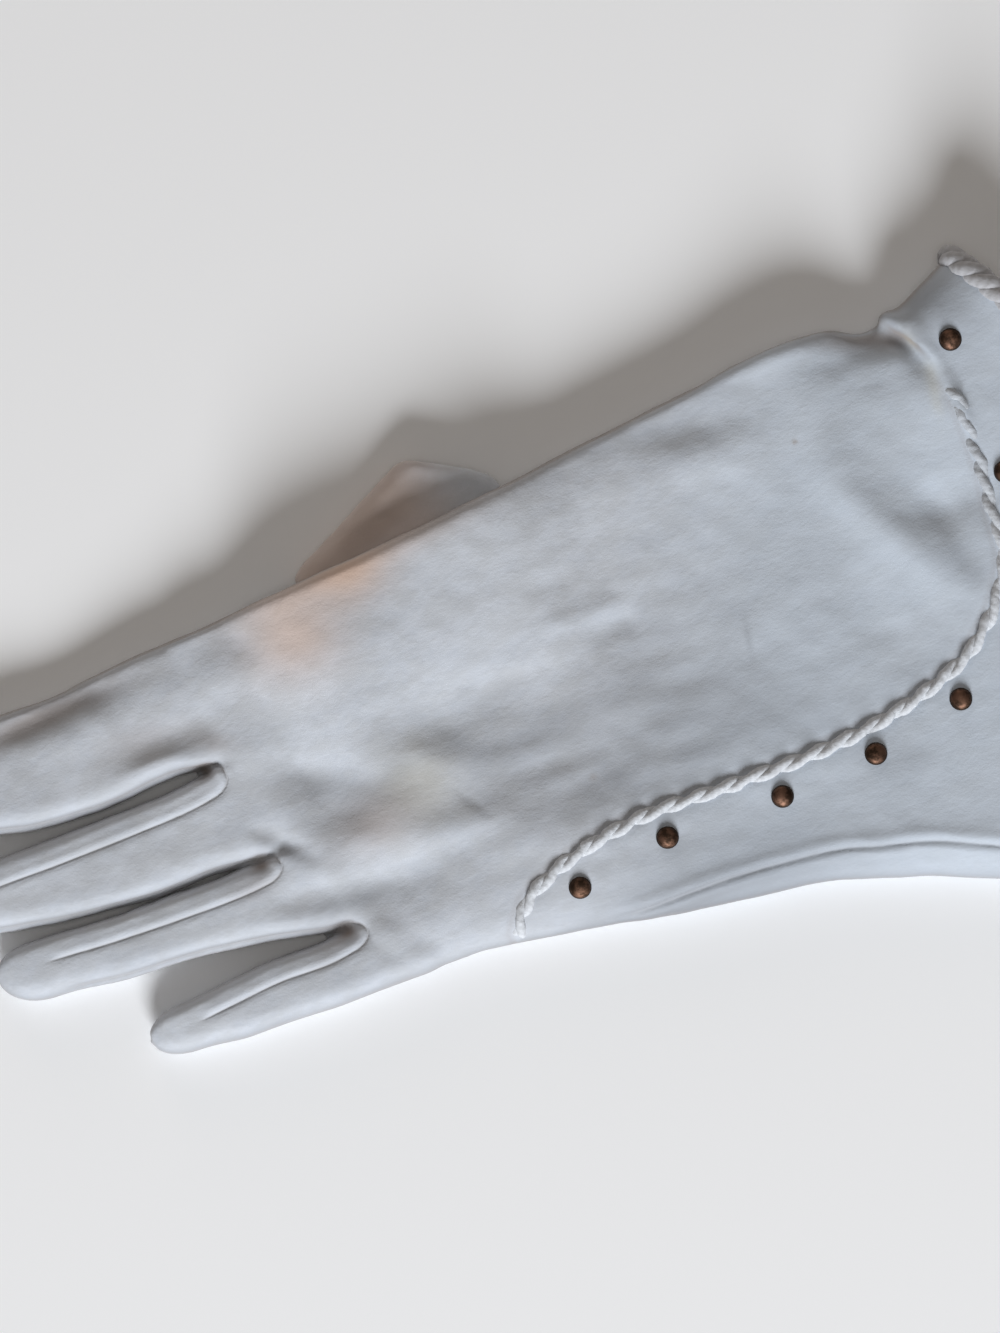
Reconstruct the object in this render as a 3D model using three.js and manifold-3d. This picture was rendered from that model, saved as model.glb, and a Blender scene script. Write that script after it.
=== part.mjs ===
// A cotton dress glove for the left hand, with a flared cuff and a row of domed studs.
// It lies flat with its back up and its thumb folded under the palm. The cloth is a hollow shell
// that is cut along its seams into panels, and cords lie over the cuff's seam and round its hem.
// Millimetres. X runs across the hand towards the thumb, Y from the hem to the fingertips, Z up.

import * as THREE from "three";
import { mergeVertices } from "three/addons/utils/BufferGeometryUtils.js";
import Module from "manifold-3d";

const wasm = await Module();
wasm.setup();

// Cloth and cords
const CLOTH = 1.2; // thickness of the cotton
const GAP = 0.3; // clearance between two pieces that meet
const SEAM_CORD = 2.7; // diameter of the twisted cord on the cuff's seam
const CORD_REST = 0.15; // play that a cord needs over the facets of the cloth
const HEM_CORD = 4.6; // diameter of the overcast cord round the hem

// How far in from an edge the rounded cloth reaches its full height
const HAND_ROLL = { thumb: 13, little: 13, under: 5 };
const FINGER_ROLL = { little: 5, under: 3.5 };

// The edge of a flattened tube stands at this share of its height.
const EDGE_LEVEL = 0.48;

// Rows of named columns, from a heading and plain rows of numbers
function table(heading, rows) {
  const columns = heading.split(" ");
  return rows.map((row) => Object.fromEntries(columns.map((name, i) => [name, row[i]])));
}

// Sections of the hand and cuff from the hem to the roots of the fingers: the points on the thumb's
// and the little finger's edge, how far the middle bows towards the fingertips, the height of the
// cloth over its underside, how high the hem's cord lifts the underside, and how high the folded
// thumb props it
const HAND = table("thumbX thumbY littleX littleY bow crown lift prop", [
  [53.0, 9.0, -91.0, 15.0, -22, 18.0, 1.9, 0],
  [44.8, 26.5, -84.0, 30.0, -8, 15.0, 0, 0],
  [48.4, 36.5, -79.0, 41.0, -5, 13.5, 0, 0],
  [49.7, 50.0, -73.6, 52.0, -2, 12.5, 0, 0],
  [48.7, 66.0, -66.4, 67.0, 0, 12.0, 0, 0],
  [48.0, 83.0, -60.2, 83.0, 0, 11.5, 0, 0],
  [47.2, 100.0, -56.6, 100.0, 0, 11.2, 0, 0],
  [46.0, 118.0, -52.8, 118.0, 0, 11.0, 0, 4.0],
  [45.2, 138.0, -48.4, 136.0, 0, 11.0, 0, 4.7],
  [45.0, 165.0, -44.0, 156.0, 1, 10.6, 0, 4.7],
  [45.0, 180.0, -43.2, 166.0, 3, 10.2, 0, 0],
  [45.0, 192.0, -42.8, 173.0, 5, 9.6, 0, 0],
  [44.0, 200.0, -42.4, 181.0, 5, 3.0, 0, 0],
]);
const PROP_FROM = -16; // X where the underside starts to climb onto the folded thumb
const PROP_FULL = 2; // X from where it lies on it

// Sections of each finger from inside the hand to where its tip starts to round off.
// `strip` is the width of the side strip that shows on the index finger's side.
const FINGERS = [
  {
    name: "index",
    tip: 263,
    strip: 8,
    sections: table("y littleX thumbX crown", [
      [182, 14.6, 44.6, 9.6],
      [192, 15.6, 44.9, 9.6],
      [202, 17.5, 45.1, 9.4],
      [218, 17.4, 44.3, 9.2],
      [234, 19.4, 45.2, 9.0],
      [250, 23.6, 44.6, 8.6],
    ]),
  },
  {
    name: "middle",
    tip: 269,
    strip: 5.6,
    sections: table("y littleX thumbX crown", [
      [179, -8.2, 17.8, 9.8],
      [190, -7.2, 16.8, 9.8],
      [202, -5.2, 15.3, 9.6],
      [218, -4.4, 15.6, 9.2],
      [234, -2.0, 16.3, 9.0],
      [248, 1.2, 17.2, 8.8],
      [259, 4.0, 17.4, 8.4],
    ]),
  },
  {
    name: "ring",
    tip: 256,
    strip: 5.4,
    sections: table("y littleX thumbX crown", [
      [170, -28.6, -4.6, 9.8],
      [186, -26.6, -5.4, 9.8],
      [198, -23.2, -6.3, 9.6],
      [214, -20.0, -5.4, 9.2],
      [230, -18.0, -3.9, 9.0],
      [246, -15.2, -2.0, 8.4],
    ]),
  },
  {
    name: "little",
    tip: 231,
    strip: 5.0,
    sections: table("y littleX thumbX crown", [
      [160, -43.4, -24.6, 9.6],
      [174, -43.0, -25.6, 9.6],
      [187, -42.4, -27.6, 9.4],
      [200, -41.2, -26.8, 9.2],
      [212, -40.0, -27.2, 8.8],
      [222, -38.4, -27.6, 8.4],
    ]),
  },
];

// Strips between two fingers: the finger whose side shows the strip, the finger whose side hides
// it, and the Y of the rounded rim at the bottom of the slot
const FOURCHETTES = [
  { name: "fourchette_index_middle", shows: 1, hides: 0, rimY: 192.5 },
  { name: "fourchette_middle_ring", shows: 2, hides: 1, rimY: 189.5 },
  { name: "fourchette_ring_little", shows: 3, hides: 2, rimY: 178.5 },
];
const FOURCHETTE_END = 10; // the strips run out this far before the fingertip
const HIDDEN_INSET = 0.9; // how far a strip reaches over the finger that hides it

// Soft dents and ridges of the back: centre, length and width of the mark, the turn of its length
// from X towards Y in degrees, and its height
const FOLDS = table("x y long wide turn height", [
  [4, 137, 27, 15, 88, -4.2],
  [8, 100, 40, 16, 90, -0.5],
  [-31, 112, 38, 12, 88, 1.0],
  [31, 170, 24, 12, 90, 0.9],
  [36, 100, 40, 9, 88, 0.7],
  [20, 205, 18, 6, 90, 0.6],
  [-23.6, 170, 20, 5, 100, -1.1],
  [5, 174, 12, 4.5, 65, -1.3],
  [6, 138, 18, 6, 86, -0.8],
  [-13, 167, 16, 5.5, 80, 1.1],
  [-23, 140, 20, 6.5, 62, 1.1],
  [26, 202, 12, 3.5, 88, -1.2],
  [41, 220, 24, 3.5, 90, -1.6],
  [1, 38, 16, 6.5, 28, 1.4],
  [26, 46, 20, 6, 4, 0.9],
  [4, 27, 8, 5.5, 80, -1.5],
  [27, 22, 12, 4.5, 8, 1.1],
  [-16, 50, 14, 6, 18, -0.9],
  [41.5, 73, 12, 4, 80, -1.0],
  [34, 71, 10, 5, 75, 0.7],
  [41, 30, 13, 6, 56, -3.4],
]);

// The line where the upper cloth meets the palm side: its place on the little finger's side of the
// back, and its height over the ground on the two edges
const SIDE_SEAM = table("y x littleZ thumbZ", [
  [-30, -104.0, 5.0, 7.5],
  [14, -83.0, 5.0, 7.0],
  [30, -76.0, 5.0, 6.5],
  [47, -67.8, 5.0, 6.0],
  [60, -61.0, 5.0, 5.6],
  [71, -57.3, 5.0, 5.6],
  [81, -54.1, 5.0, 5.6],
  [103, -50.7, 5.0, 8.0],
  [121, -49.6, 5.0, 10.3],
  [133, -53.0, 5.0, 10.3],
  [166, -60.0, 4.6, 10.3],
  [174, -60.0, 3.4, 7.0],
  [184, -60.0, 2.3, 2.3],
  [300, -60.0, 2.3, 2.3],
]);

// The corded seam from the little finger's edge round to the crease at the thumb's edge
const CUFF_SEAM = [
  [-43.4, 149.4],
  [-39.6, 146.6],
  [-36.3, 142.4],
  [-32.6, 131.0],
  [-31.0, 114.0],
  [-32.3, 97.0],
  [-33.7, 75.0],
  [-32.7, 56.0],
  [-28.7, 39.5],
  [-22.0, 29.0],
  [-12.2, 21.6],
  [-1.5, 19.4],
  [8.0, 17.8],
  [20.8, 16.8],
  [33.1, 17.4],
  [41.0, 19.0],
].map(([x, y]) => new THREE.Vector2(x, y));

// Studs on the cuff. `grip` is the room between a stud's head and the flange inside, and `back` the
// flange's thickness.
const STUDS = [
  [-39.4, 133.0],
  [-37.2, 111.5],
  [-39.2, 85.4],
  [-39.0, 63.4],
  [-35.7, 42.0],
  [-21.7, 20.4],
  [5.0, 13.7],
  [35.6, 13.0],
].map(([x, y]) => new THREE.Vector2(x, y));
const STUD_SIDES = 10;
const STUD = { radius: 2.45, rim: 0.35, dome: 1.4, post: 0.6, grip: 2.3, flange: 1.3, back: 0.5 };

// The thumb: its sections from inside the hand out to the fold and back under the palm. Each
// section is a flattened tube between a point on the fingertips' side and one on the wrist's side.
const THUMB_THICKNESS = 4;
const THUMB_ROLL = 3;
const THUMB_LEVELS = { upper: 7.0, lower: 2.0 };
const THUMB_ABOVE = table("farX farY nearX nearY", [
  [38.6, 160.6, 41.6, 114.0],
  [41.4, 161.0, 48.4, 115.2],
  [41.8, 161.2, 52.6, 122.4],
]);
const THUMB_FOLD = { farX: 42.2, farY: 161.4, nearX: 56.0, nearY: 129.6 };
const THUMB_BELOW = table("farX farY nearX nearY", [
  [33.0, 162.2, 40.0, 132.8],
  [22.0, 162.2, 24.0, 136.0],
  [11.0, 161.0, 11.6, 139.6],
  [5.6, 157.6, 5.8, 143.4],
  [3.4, 153.4, 3.5, 148.0],
]);

const clamp = THREE.MathUtils.clamp;

// Rise of rounded cloth: 0 at the edge, 1 from `reach` inwards, along a quarter of an ellipse
const rise = (distance, reach) => Math.sqrt(1 - (1 - clamp(distance / reach, 0, 1)) ** 2);

// Value of a column at a fractional row, on a smooth curve through the rows
function smoothAt(rows, column, row) {
  const i = clamp(Math.floor(row), 0, rows.length - 2);
  const t = row - i;
  const at = (k) => rows[clamp(k, 0, rows.length - 1)][column];
  const [a, b, c, d] = [at(i - 1), at(i), at(i + 1), at(i + 2)];
  return b + 0.5 * t * (c - a + t * (2 * a - 5 * b + 4 * c - d + t * (3 * (b - c) + d - a)));
}

// Fractional row of a table at a height along its rising y column
function rowAt(rows, y) {
  const after = rows.findIndex((row) => row.y > y);
  if (after < 1) return after < 0 ? rows.length - 1 : 0;
  const [a, b] = [rows[after - 1], rows[after]];
  return after - 1 + (y - a.y) / (b.y - a.y);
}

// Height that the dents and ridges add at a place on the back
function foldsAt(x, y) {
  return FOLDS.reduce((sum, fold) => {
    const turn = THREE.MathUtils.degToRad(fold.turn);
    const [dx, dy] = [x - fold.x, y - fold.y];
    const along = (dx * Math.cos(turn) + dy * Math.sin(turn)) / fold.long;
    const across = (dy * Math.cos(turn) - dx * Math.sin(turn)) / fold.wide;
    return sum + fold.height * Math.exp(-(along ** 2) - across ** 2);
  }, 0);
}

// Shares across a section from 1 at one edge to -1 at the other, closer together near the edges
const sharesAcross = (steps) =>
  Array.from({ length: steps + 1 }, (_, i) => Math.cos((Math.PI * i) / steps));

// Closed ring over the top of a section and back underneath, from the points at each share
function ringAround(steps, pointAt) {
  const shares = sharesAcross(steps);
  const over = shares.map((share) => pointAt(share, 1));
  const under = shares.slice(1, -1).reverse();
  return [...over, ...under.map((share) => pointAt(share, -1))];
}

// One ring of the flattened cloth. `inset` moves it in to the inner face of the cloth, and
// `squeeze` shrinks it about its middle.
function clothRing(section, steps, inset, squeeze = 1) {
  const { thumb, little, crown, roll, bow = 0, lift = 0, prop = 0 } = section;
  const middle = thumb.clone().lerp(little, 0.5);
  const side = thumb.clone().sub(middle).normalize();
  const half = (thumb.distanceTo(little) / 2 - inset) * squeeze;
  const edge = EDGE_LEVEL * crown;
  const roundness = (share, thumbReach, littleReach) =>
    rise(half * (1 - share), (thumbReach - inset) * squeeze) *
    rise(half * (1 + share), (littleReach - inset) * squeeze);
  return ringAround(steps, (share, up) => {
    const place = middle.clone().addScaledVector(side, share * half);
    const y = place.y + bow * (1 - share ** 2);
    const propped = prop * THREE.MathUtils.smoothstep(place.x, PROP_FROM, PROP_FULL);
    const height =
      up > 0
        ? (crown - edge + foldsAt(place.x, y) - inset) * roundness(share, roll.thumb, roll.little)
        : (inset - edge) * roundness(share, roll.under, roll.under);
    return new THREE.Vector3(place.x, y, lift + propped + edge + height * squeeze);
  });
}

// Triangles that join each ring to the next, and the last to the first of a closed row
function sideTriangles(rings, closed) {
  const count = rings[0].length;
  const total = rings.length * count;
  const triangles = [];
  for (let start = 0; start < (closed ? total : total - count); start += count)
    for (let i = 0; i < count; i++) {
      const [a, b] = [start + i, start + ((i + 1) % count)];
      const [c, d] = [(b + count) % total, (a + count) % total];
      triangles.push(a, b, c, a, c, d);
    }
  return triangles;
}

// Solid through flattened rings. Strips from the top to the underside close both ends.
function loft(rings) {
  const count = rings[0].length;
  const last = (rings.length - 1) * count;
  const triangles = sideTriangles(rings, false);
  for (let i = 0; i < count / 2; i++) {
    const [a, b, c, d] = [i, i + 1, count - i - 1, (count - i) % count];
    if (b !== c) triangles.push(a, c, b, last + a, last + b, last + c);
    if (a !== d) triangles.push(a, d, c, last + a, last + c, last + d);
  }
  return new THREE.BufferGeometry().setFromPoints(rings.flat()).setIndex(triangles);
}

// Solid for joining and cutting, with its faces turned outwards
function solid(geometry) {
  const bare = geometry.clone().deleteAttribute("normal").deleteAttribute("uv");
  const merged = mergeVertices(bare, 1e-4);
  const vertProperties = merged.attributes.position.array;
  const body = (triVerts) =>
    new wasm.Manifold(new wasm.Mesh({ numProp: 3, vertProperties, triVerts }));
  const triangles = new Uint32Array(merged.index.array);
  const made = body(triangles);
  return made.volume() > 0 ? made : body(triangles.reverse());
}

// Solid that stands on a plan outline, through the whole height of the glove
function prism(outline) {
  const geometry = new THREE.ExtrudeGeometry(new THREE.Shape(outline), {
    depth: 80,
    bevelEnabled: false,
  });
  return solid(geometry.translate(0, 0, -20));
}

// Geometry of a solid
function geometryOf(body) {
  const { vertProperties, triVerts } = body.getMesh();
  const geometry = new THREE.BufferGeometry();
  geometry.setAttribute("position", new THREE.BufferAttribute(vertProperties, 3));
  geometry.setIndex(new THREE.BufferAttribute(triVerts, 1));
  geometry.computeVertexNormals();
  return geometry;
}

// Section of the hand at a fractional row, moved along the hand by `shift`
function handSection(row, shift = 0) {
  const at = (column) => smoothAt(HAND, column, row);
  return {
    thumb: new THREE.Vector2(at("thumbX"), at("thumbY") + shift),
    little: new THREE.Vector2(at("littleX"), at("littleY") + shift),
    bow: at("bow"),
    crown: at("crown"),
    lift: Math.max(0, at("lift")),
    prop: Math.max(0, at("prop")),
    roll: HAND_ROLL,
  };
}

// Hand and cuff: a tube from the open hem to the roots of the fingers. Its inside runs out
// through the hem and stops short of the roots.
function handTube(steps, rowStep, inset) {
  const lastRow = HAND.length - 1 - (inset ? 0.15 : 0);
  const rings = inset ? [clothRing(handSection(0, -HEM_CORD), steps, inset)] : [];
  for (let row = 0; row < lastRow; row += rowStep)
    rings.push(clothRing(handSection(row), steps, inset));
  rings.push(clothRing(handSection(lastRow), steps, inset));
  return solid(loft(rings));
}

// One finger: a tube that starts inside the hand and ends in a rounded tip
function fingerTube(finger, steps, inset) {
  const rows = finger.sections;
  const roll = { ...FINGER_ROLL, thumb: finger.strip };
  const ring = ({ y, thumbX, littleX, crown }, shift, squeeze) => {
    const thumb = new THREE.Vector2(thumbX, y);
    const little = new THREE.Vector2(littleX, y);
    const points = clothRing({ thumb, little, crown, roll }, steps, inset, squeeze);
    return points.map((point) => point.add(shift));
  };
  const rings = rows.map((row) => ring(row, new THREE.Vector3(), 1));
  const [before, last] = rows.slice(-2);
  const lean = (last.thumbX + last.littleX - before.thumbX - before.littleX) / 2;
  const along = new THREE.Vector3(lean / (last.y - before.y), 1, 0);
  for (const degrees of [28, 55, 75, 85]) {
    const turn = THREE.MathUtils.degToRad(degrees);
    const reach = (finger.tip - last.y - inset) * Math.sin(turn);
    rings.push(ring(last, along.clone().multiplyScalar(reach), Math.cos(turn)));
  }
  return solid(loft(rings));
}

// The cloth's outside, and the shell that is left when its inside is taken out
function clothShell() {
  const tubes = (hand, fingerSteps, inset) =>
    FINGERS.reduce((sum, finger) => sum.add(fingerTube(finger, fingerSteps, inset)), hand);
  const outside = tubes(handTube(12, 0.5, 0), 8, 0);
  return { outside, shell: outside.subtract(tubes(handTube(8, 1, CLOTH), 4, CLOTH)) };
}

// Space above the side seams, which part the upper cloth from the palm side
function aboveSideSeams(margin) {
  const [edge, far] = [50, 120];
  const rings = SIDE_SEAM.map(({ y, x, littleZ, thumbZ }) => [
    new THREE.Vector3(far, y, thumbZ - margin),
    new THREE.Vector3(far, y, far),
    new THREE.Vector3(edge, y, far),
    new THREE.Vector3(x - margin, y, far),
    new THREE.Vector3(x - margin, y, littleZ - margin),
    new THREE.Vector3(edge, y, thumbZ - margin),
  ]);
  return solid(loft(rings));
}

// Space on the cuff's side of the corded seam
function besideCuffSeam(margin) {
  const line = new THREE.SplineCurve(CUFF_SEAM);
  const steps = 40;
  const points = line.getPoints(steps).map(({ x, y }, i) => {
    const along = line.getTangent(i / steps);
    return new THREE.Vector2(x - along.y * margin, y + along.x * margin);
  });
  const [first, last] = [points[0], points.at(-1)];
  const corners = [
    [80, last.y],
    [80, -80],
    [-130, -80],
    [-130, first.y + 4],
    [first.x - 10, first.y + 4],
  ];
  return prism([...points, ...corners.map(([x, y]) => new THREE.Vector2(x, y))]);
}

// Space of the strip between two fingers: from the seam along the finger that shows it, round the
// rim and over the slot, to the side of the finger that hides it
function fourchetteSpace({ shows, hides, rimY }, margin) {
  const rimRadius = 5;
  const side = (finger, column, reach) => {
    const steps = 5;
    const start = rimY + rimRadius;
    const end = finger.tip - FOURCHETTE_END;
    return Array.from({ length: steps + 1 }, (_, i) => {
      const y = start + ((end - start) * i) / steps;
      const taper = Math.min(1, (end - y) / 26 + 0.04) ** 0.7;
      const edge = smoothAt(finger.sections, column, rowAt(finger.sections, y));
      const x = edge + reach * taper + Math.sign(reach) * margin;
      return new THREE.Vector2(x, i < steps ? y : y + 2 * margin);
    });
  };
  const shown = side(FINGERS[shows], "thumbX", -FINGERS[shows].strip);
  const hidden = side(FINGERS[hides], "littleX", HIDDEN_INSET);
  const middle = shown[0].clone().lerp(hidden[0], 0.5);
  const half = shown[0].distanceTo(hidden[0]) / 2;
  const rim = [1, 2, 3, 4, 5].map((i) => {
    const turn = Math.PI * (1 + i / 6);
    const reach = new THREE.Vector2(half * Math.cos(turn), (rimRadius + margin) * Math.sin(turn));
    return middle.clone().add(reach);
  });
  return prism([...shown.reverse(), ...rim, ...hidden]);
}

// The folded thumb: out of the hand, round the fold and back under the palm. Its inside and its
// clearance both reach further into the hand than the thumb does, by `rootShift`.
function thumbTube(inset, rootShift = 0) {
  const bend = (THUMB_LEVELS.upper - THUMB_LEVELS.lower) / 2;
  const middle = (THUMB_LEVELS.upper + THUMB_LEVELS.lower) / 2;
  const ring = ({ farX, farY, nearX, nearY }, degrees, shift) => {
    const turn = THREE.MathUtils.degToRad(degrees);
    const far = new THREE.Vector3(farX + shift, farY, middle);
    const near = new THREE.Vector3(nearX + shift, nearY, middle);
    const side = far.clone().sub(near).normalize();
    const outward = new THREE.Vector3(side.y, -side.x, 0);
    const normal = outward.multiplyScalar(Math.sin(turn)).setZ(Math.cos(turn));
    const centre = far.clone().lerp(near, 0.5).addScaledVector(normal, bend);
    const half = far.distanceTo(near) / 2 - inset;
    return ringAround(6, (share, up) => {
      const edgeRise = rise(half * (1 - Math.abs(share)), THUMB_ROLL - inset);
      const thick = up * (THUMB_THICKNESS / 2 - inset) * edgeRise;
      return centre.clone().addScaledVector(side, share * half).addScaledVector(normal, thick);
    });
  };
  const above = THUMB_ABOVE.map((row, i) => ring(row, 0, i ? 0 : -rootShift));
  const fold = [45, 90, 135].map((degrees) => ring(THUMB_FOLD, degrees, 0));
  const below = THUMB_BELOW.map((row, i) =>
    ring(row, 180, i === THUMB_BELOW.length - 1 ? inset : 0),
  );
  return solid(loft([...above, ring(THUMB_FOLD, 0, 0), ...fold, ring(THUMB_FOLD, 180, 0), ...below]));
}

// Point on the cloth's upper face at a place, and the way that the face looks round there
function surfaceFinder(outside) {
  const mesh = new THREE.Mesh(geometryOf(outside));
  const hitAt = (x, y) => {
    const ray = new THREE.Raycaster(new THREE.Vector3(x, y, 100), new THREE.Vector3(0, 0, -1));
    return ray.intersectObject(mesh)[0];
  };
  return ({ x, y }) => {
    const near = [0, 90, 180, 270].map((degrees) => {
      const turn = THREE.MathUtils.degToRad(degrees);
      return hitAt(x + 2 * Math.cos(turn), y + 2 * Math.sin(turn));
    });
    const normal = new THREE.Vector3();
    near.forEach((hit) => normal.add(hit ? hit.face.normal : new THREE.Vector3()));
    return { point: hitAt(x, y).point, normal: normal.normalize() };
  };
}

// The cord over the cuff's seam
function seamCord(surface) {
  const stand = SEAM_CORD / 2 + GAP + CORD_REST;
  const steps = 40;
  const points = new THREE.SplineCurve(CUFF_SEAM).getSpacedPoints(steps).map((place) => {
    const { point, normal } = surface(place);
    return point.addScaledVector(normal, stand);
  });
  const circle = new THREE.EllipseCurve(0, 0, SEAM_CORD / 2, SEAM_CORD / 2);
  return new THREE.ExtrudeGeometry(new THREE.Shape(circle.getPoints(8).slice(1)), {
    steps,
    extrudePath: new THREE.CatmullRomCurve3(points),
    bevelEnabled: false,
  });
}

// The cord round the hem: a closed loop just beyond the cloth's end, square to the hem's bow
function hemCord() {
  const hem = handSection(0);
  const stand = HEM_CORD / 2 + GAP;
  const [climb, run] = [hem.thumb.y - hem.little.y, hem.thumb.x - hem.little.x];
  const path = clothRing(hem, 14, CLOTH / 2).map((point) => {
    const share = (2 * point.x - hem.thumb.x - hem.little.x) / run;
    const slope = (climb - 4 * hem.bow * share) / run;
    return point.addScaledVector(new THREE.Vector3(slope, -1, 0).normalize(), stand);
  });
  const loop = new THREE.CatmullRomCurve3(path, true);
  const steps = 60;
  const { normals, binormals } = loop.computeFrenetFrames(steps, true);
  const rings = Array.from({ length: steps }, (_, i) =>
    Array.from({ length: 8 }, (_, k) => {
      const turn = (Math.PI * k) / 4;
      return loop
        .getPointAt(i / steps)
        .addScaledVector(normals[i], (Math.cos(turn) * HEM_CORD) / 2)
        .addScaledVector(binormals[i], (Math.sin(turn) * HEM_CORD) / 2);
    }),
  );
  const geometry = new THREE.BufferGeometry().setFromPoints(rings.flat());
  return geometry.setIndex(sideTriangles(rings, true));
}

// A stud's head, its post through the cloth and the flange inside. Its axis is Y, and the cloth's
// outer face is at 0.
function studGeometry() {
  const { radius, rim, dome, post, grip, flange, back } = STUD;
  const inner = GAP - grip;
  const profile = [
    [0, inner - back],
    [flange, inner - back],
    [flange, inner],
    [post, inner],
    [post, GAP],
    [radius, GAP],
    [radius, GAP + rim],
    [radius * 0.82, GAP + rim + dome * 0.57],
    [radius * 0.45, GAP + rim + dome * 0.89],
    [0, GAP + rim + dome],
  ];
  const points = profile.map(([x, y]) => new THREE.Vector2(x, y));
  return new THREE.LatheGeometry(points, STUD_SIDES);
}

// Drill for a stud's post, with its clearance
function studHole(place) {
  const drill = new THREE.CylinderGeometry(STUD.post + GAP, STUD.post + GAP, 8, STUD_SIDES);
  drill.applyQuaternion(place.turn).translate(...place.point.toArray());
  return solid(drill);
}

const cloth = new THREE.MeshStandardMaterial({ color: 0xd3d6dc, roughness: 0.95 });
const cord = new THREE.MeshStandardMaterial({ color: 0xd8d8d6, roughness: 0.9 });
const brass = new THREE.MeshStandardMaterial({ color: 0x7a5c38, roughness: 0.35, metalness: 1 });

const glove = new THREE.Group();

function addPiece(name, geometry, material) {
  const mesh = new THREE.Mesh(geometry, material.clone());
  mesh.name = name;
  glove.add(mesh);
  return mesh;
}

const { outside, shell } = clothShell();
const surface = surfaceFinder(outside);
const studPlaces = STUDS.map((stud) => {
  const { point, normal } = surface(stud);
  const turn = new THREE.Quaternion().setFromUnitVectors(new THREE.Vector3(0, 1, 0), normal);
  return { point, turn };
});

const half = GAP / 2;
const upper = shell.intersect(aboveSideSeams(-half));
const hand = upper.subtract(besideCuffSeam(half));
const cuff = upper.intersect(besideCuffSeam(-half));
const back = FOURCHETTES.reduce((rest, strip) => rest.subtract(fourchetteSpace(strip, half)), hand);
const palm = shell.subtract(aboveSideSeams(half)).subtract(thumbTube(-GAP, 0.6));
const drilledCuff = studPlaces.reduce((rest, place) => rest.subtract(studHole(place)), cuff);
const thumb = thumbTube(0).subtract(thumbTube(CLOTH, 1));

addPiece("back_panel", geometryOf(back), cloth);
addPiece("palm_panel", geometryOf(palm), cloth);
addPiece("cuff_panel", geometryOf(drilledCuff), cloth);
for (const strip of FOURCHETTES)
  addPiece(strip.name, geometryOf(hand.intersect(fourchetteSpace(strip, -half))), cloth);
addPiece("thumb", geometryOf(thumb), cloth);
addPiece("seam_cord", seamCord(surface), cord);
addPiece("hem_cord", hemCord(), cord);
studPlaces.forEach(({ point, turn }, i) => {
  const stud = addPiece(`stud_${i + 1}`, studGeometry(), brass);
  stud.position.copy(point);
  stud.quaternion.copy(turn);
});

// The origin is under the middle of the glove, on the surface that it lies on.
const box = new THREE.Box3().setFromObject(glove, true);
const middle = box.getCenter(new THREE.Vector3());
glove.position.set(-middle.x, -middle.y, -box.min.z);

export default new THREE.Group().add(glove);
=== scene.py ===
"""A white cotton dress glove for the left hand, with a flared cuff and a row of domed studs.

It lies flat with its back up and its thumb folded under the palm. The cloth is the smooth skin of
a hollow solid, which is made on a fine grid and parted along the glove's seams. Lengths in the
tables are millimetres in the glove's own plan: X runs across the hand towards the thumb, Y from the
hem to the fingertips and Z up. The meshes are in metres, moved to the frame's origin.
"""

import math

import bpy
import numpy as np
from mathutils import Matrix, Vector
from mathutils.bvhtree import BVHTree


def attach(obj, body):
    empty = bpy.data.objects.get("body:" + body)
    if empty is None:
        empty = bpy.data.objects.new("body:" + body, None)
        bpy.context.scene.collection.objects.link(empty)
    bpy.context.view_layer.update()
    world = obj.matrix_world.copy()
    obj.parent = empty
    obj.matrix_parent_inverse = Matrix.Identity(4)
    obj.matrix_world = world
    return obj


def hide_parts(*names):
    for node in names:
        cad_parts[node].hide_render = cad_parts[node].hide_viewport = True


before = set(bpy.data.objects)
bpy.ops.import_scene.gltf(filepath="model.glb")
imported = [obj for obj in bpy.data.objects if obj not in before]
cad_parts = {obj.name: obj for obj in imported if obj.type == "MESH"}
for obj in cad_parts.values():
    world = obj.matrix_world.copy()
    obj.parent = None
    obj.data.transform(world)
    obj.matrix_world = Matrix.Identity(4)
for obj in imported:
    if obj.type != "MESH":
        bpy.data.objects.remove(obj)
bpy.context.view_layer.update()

# Where the plan's origin lies in the frame
PLAN_ORIGIN = np.array([17.462, -127.031, 0.0])

# Cloth
CLOTH = 1.2  # thickness
SKIN_STEP = 0.65  # grid of the outer skin
LINING_STEP = 1.6  # grid of the inner skin
GRID_LOW, GRID_HIGH = (-96, -18, -1.5), (58, 273, 24)
ACROSS, ALONG = 161, 1400  # places at which the hand's plan is worked out
HEM_RUN = 2.4  # how far the cloth runs on into the hem's cord
LINING_SHORT = 0.15  # rows of the hand by which the inner skin ends before the outer one
ROW_BEYOND = 8  # length of a row of the hand beyond its first and last section
END_STEEPNESS = 3  # how fast the solid ends there
LEAST_RISE = 2.5  # least height of the upper side over the level of its edges
FINGER_START = 12  # a finger starts to fade into the hand this far from its first section
FINGER_SOFTNESS = 200  # how slowly it does so
TIP_STEEPNESS = 4  # how fast it ends past its tip
FINGER_BLEND = 0.16  # how softly the fingers join the hand
DEEPEST = 0.95  # most that a crease goes into the cloth
FAR = 8.0  # distance from a seam at which its traces have ended

# How far in from an edge the rounded cloth reaches its full height. With a fullness over 1 the
# edge towards the thumb stays high until close to its end.
HAND_ROLL = {"little": 13, "under": 5}
FINGER_ROLL = {"little": 5, "under": 3.5}
FINGER_FULLNESS = 3.0
EDGE_LEVEL = 0.48  # share of the height at which an edge stands
PROP_FROM, PROP_FULL = -16, 2  # X between which the thumb below starts to prop the hand up

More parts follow.
